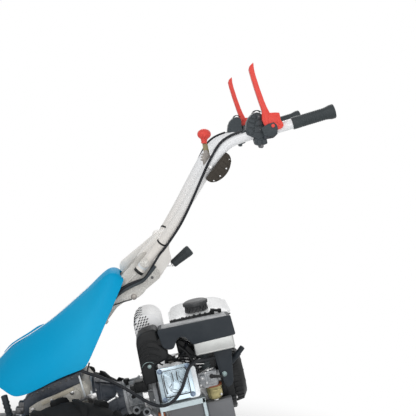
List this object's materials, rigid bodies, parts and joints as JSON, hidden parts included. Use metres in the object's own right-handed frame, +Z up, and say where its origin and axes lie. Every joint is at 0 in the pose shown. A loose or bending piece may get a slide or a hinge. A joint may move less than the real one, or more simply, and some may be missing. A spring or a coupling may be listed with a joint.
{
  "type": "sickle bar mower",
  "caption": "Walk-behind sickle bar mower: wheeled gearbox with a rear engine, blue hood, lowering handlebars with hand levers, and a front finger bar with a sliding knife.",
  "frame": {"origin": "on the ground, under the middle of the machine's box", "axes": "+X to the rear where the operator walks, +Y to the machine's right, +Z up"},
  "size_m": [1.5902, 1.2028, 1.3635],
  "materials": {
    "tyre": "matt moulded rubber",
    "white_paint": "gloss white paint",
    "white_casting": "white painted casting",
    "cream_casting": "matt cream casting",
    "cream_steel": "satin cream paint",
    "dark_casting": "dark blue-grey paint on cast alloy",
    "black_paint": "satin black paint",
    "cast_alloy": "rough cast",
    "valve_cover_alloy": "bright pressed",
    "bright_steel": "machined",
    "dark_steel": "dark hardened",
    "yellow_zinc": "yellow passivated",
    "hood_blue": "gloss blue moulding",
    "tank_white": "white moulding",
    "red_plastic": "red moulding",
    "black_plastic": "black moulding",
    "grey_plastic": "dark grey moulding",
    "grip_rubber": "ribbed rubber",
    "cable_black": "sheathed cable"
  },
  "bodies": {
    "chassis": {"gearbox_housing": "cast_alloy", "gearbox_cover": "dark_casting", "bell_housing": "dark_casting", "crankcase": "cast_alloy", "valve_cover": "valve_cover_alloy", "fan_housing": "black_plastic", "recoil_cover": "black_plastic", "fuel_tank": "tank_white", "tank_bracket": "black_paint", "air_cleaner_cover": "grey_plastic", "air_cleaner_body": "grey_plastic", "muffler": "bright_steel", "muffler_guard": "white_paint", "cylinder_shroud": "black_plastic", "carburettor": "cast_alloy", "float_bowl": "yellow_zinc", "control_shield": "black_paint", "engine_base": "cast_alloy", "steering_column": "cream_steel", "head_bracket": "cream_casting", "pivot_bolt": "bright_steel", "hood": "hood_blue", "lower_cable": "cable_black", "coupling_flange": "cast_alloy", "drive_housing": "dark_casting", "finger_bar": "dark_steel", "left_shoe": "dark_steel", "right_shoe": "dark_steel"},
    "handlebar": {"left_handle_tube": "white_paint", "right_handle_tube": "white_paint", "left_grip": "grip_rubber", "right_grip": "grip_rubber", "left_control_housing": "grey_plastic", "right_control_housing": "grey_plastic", "left_lever_bracket": "dark_casting", "right_lever_bracket": "dark_casting", "left_hand_cable": "cable_black", "right_hand_cable": "cable_black", "handle_yoke": "white_casting", "gear_lever_gate": "bright_steel", "knee_pad": "grip_rubber"},
    "left_lever": {"left_hand_lever": "red_plastic"},
    "right_lever": {"right_hand_lever": "red_plastic"},
    "gear_lever": {"gear_lever_stem": "dark_steel", "gear_lever_knob": "red_plastic"},
    "height_lock": {"height_lock_lever": "bright_steel", "height_lock_grip": "grip_rubber"},
    "left_wheel": {"left_tyre": "tyre", "left_rim": "white_paint", "left_axle": "bright_steel"},
    "right_wheel": {"right_tyre": "tyre", "right_rim": "white_paint", "right_axle": "bright_steel"},
    "knife": {"knife": "bright_steel"},
    "drive_arm": {"drive_arm": "dark_steel"},
    "engine_shaft": {"crankshaft": "bright_steel", "flywheel_fan": "cast_alloy"},
    "fuel_cap": {"fuel_cap": "black_plastic"},
    "choke": {"choke_lever": "black_plastic"},
    "starter": {"starter_grip": "black_plastic"}
  },
  "joints": [
    {"name": "handlebar_height", "type": "hinge", "parent": "chassis", "child": "handlebar", "pos_m": [0.28288, 0, 0.81], "axis": [0, 1, 0], "range_deg": [0, 49]},
    {"name": "left_lever_squeeze", "type": "hinge", "parent": "handlebar", "child": "left_lever", "pos_m": [0.62188, -0.2835, 1.199], "axis": [0, 1, 0], "range_deg": [0, 70], "stiffness_Nm_per_rad": 0.8, "springref_deg": -28.65},
    {"name": "right_lever_squeeze", "type": "hinge", "parent": "handlebar", "child": "right_lever", "pos_m": [0.62188, 0.2835, 1.199], "axis": [0, 1, 0], "range_deg": [0, 70], "stiffness_Nm_per_rad": 0.8, "springref_deg": -28.65},
    {"name": "gear_shift", "type": "hinge", "parent": "handlebar", "child": "gear_lever", "pos_m": [0.46138, -0.176, 1.088], "axis": [0, 1, 0], "range_deg": [-18, 18]},
    {"name": "height_lock_press", "type": "hinge", "parent": "handlebar", "child": "height_lock", "pos_m": [0.34288, 0, 0.796], "axis": [0, 1, 0], "range_deg": [0, 25], "stiffness_Nm_per_rad": 0.5, "springref_deg": -28.65},
    {"name": "left_wheel_spin", "type": "hinge", "parent": "chassis", "child": "left_wheel", "pos_m": [0.08488, -0.168, 0.222], "axis": [0, 1, 0], "continuous": true},
    {"name": "right_wheel_spin", "type": "hinge", "parent": "chassis", "child": "right_wheel", "pos_m": [0.08488, 0.168, 0.222], "axis": [0, 1, 0], "continuous": true},
    {"name": "knife_slide", "type": "slide", "parent": "chassis", "child": "knife", "axis": [0, 1, 0], "range_m": [-0.038, 0.038]},
    {"name": "drive_arm_swing", "type": "hinge", "parent": "chassis", "child": "drive_arm", "pos_m": [-0.51512, 0, 0.055], "axis": [0, 0, 1], "range_deg": [-19, 19]},
    {"name": "engine_spin", "type": "hinge", "parent": "chassis", "child": "engine_shaft", "pos_m": [0.43488, 0, 0.44], "axis": [0.9781, 0, 0.2079], "continuous": true},
    {"name": "fuel_cap_turn", "type": "hinge", "parent": "chassis", "child": "fuel_cap", "pos_m": [0.43122, -0.026, 0.67845], "axis": [-0.2079, 0, 0.9781], "range_deg": [0, 90]},
    {"name": "choke_turn", "type": "hinge", "parent": "chassis", "child": "choke", "pos_m": [0.47073, -0.141, 0.4926], "axis": [0, 1, 0], "range_deg": [0, 40]},
    {"name": "starter_pull", "type": "slide", "parent": "chassis", "child": "starter", "axis": [0.2913, -0.9022, 0.3181], "range_m": [0, 0.3], "stiffness_N_per_m": 12, "springref_m": -0.25}
  ],
  "couplings": [
    {"joint": "drive_arm_swing", "follows": "knife_slide", "rad_per_m": -8.6957}
  ]
}
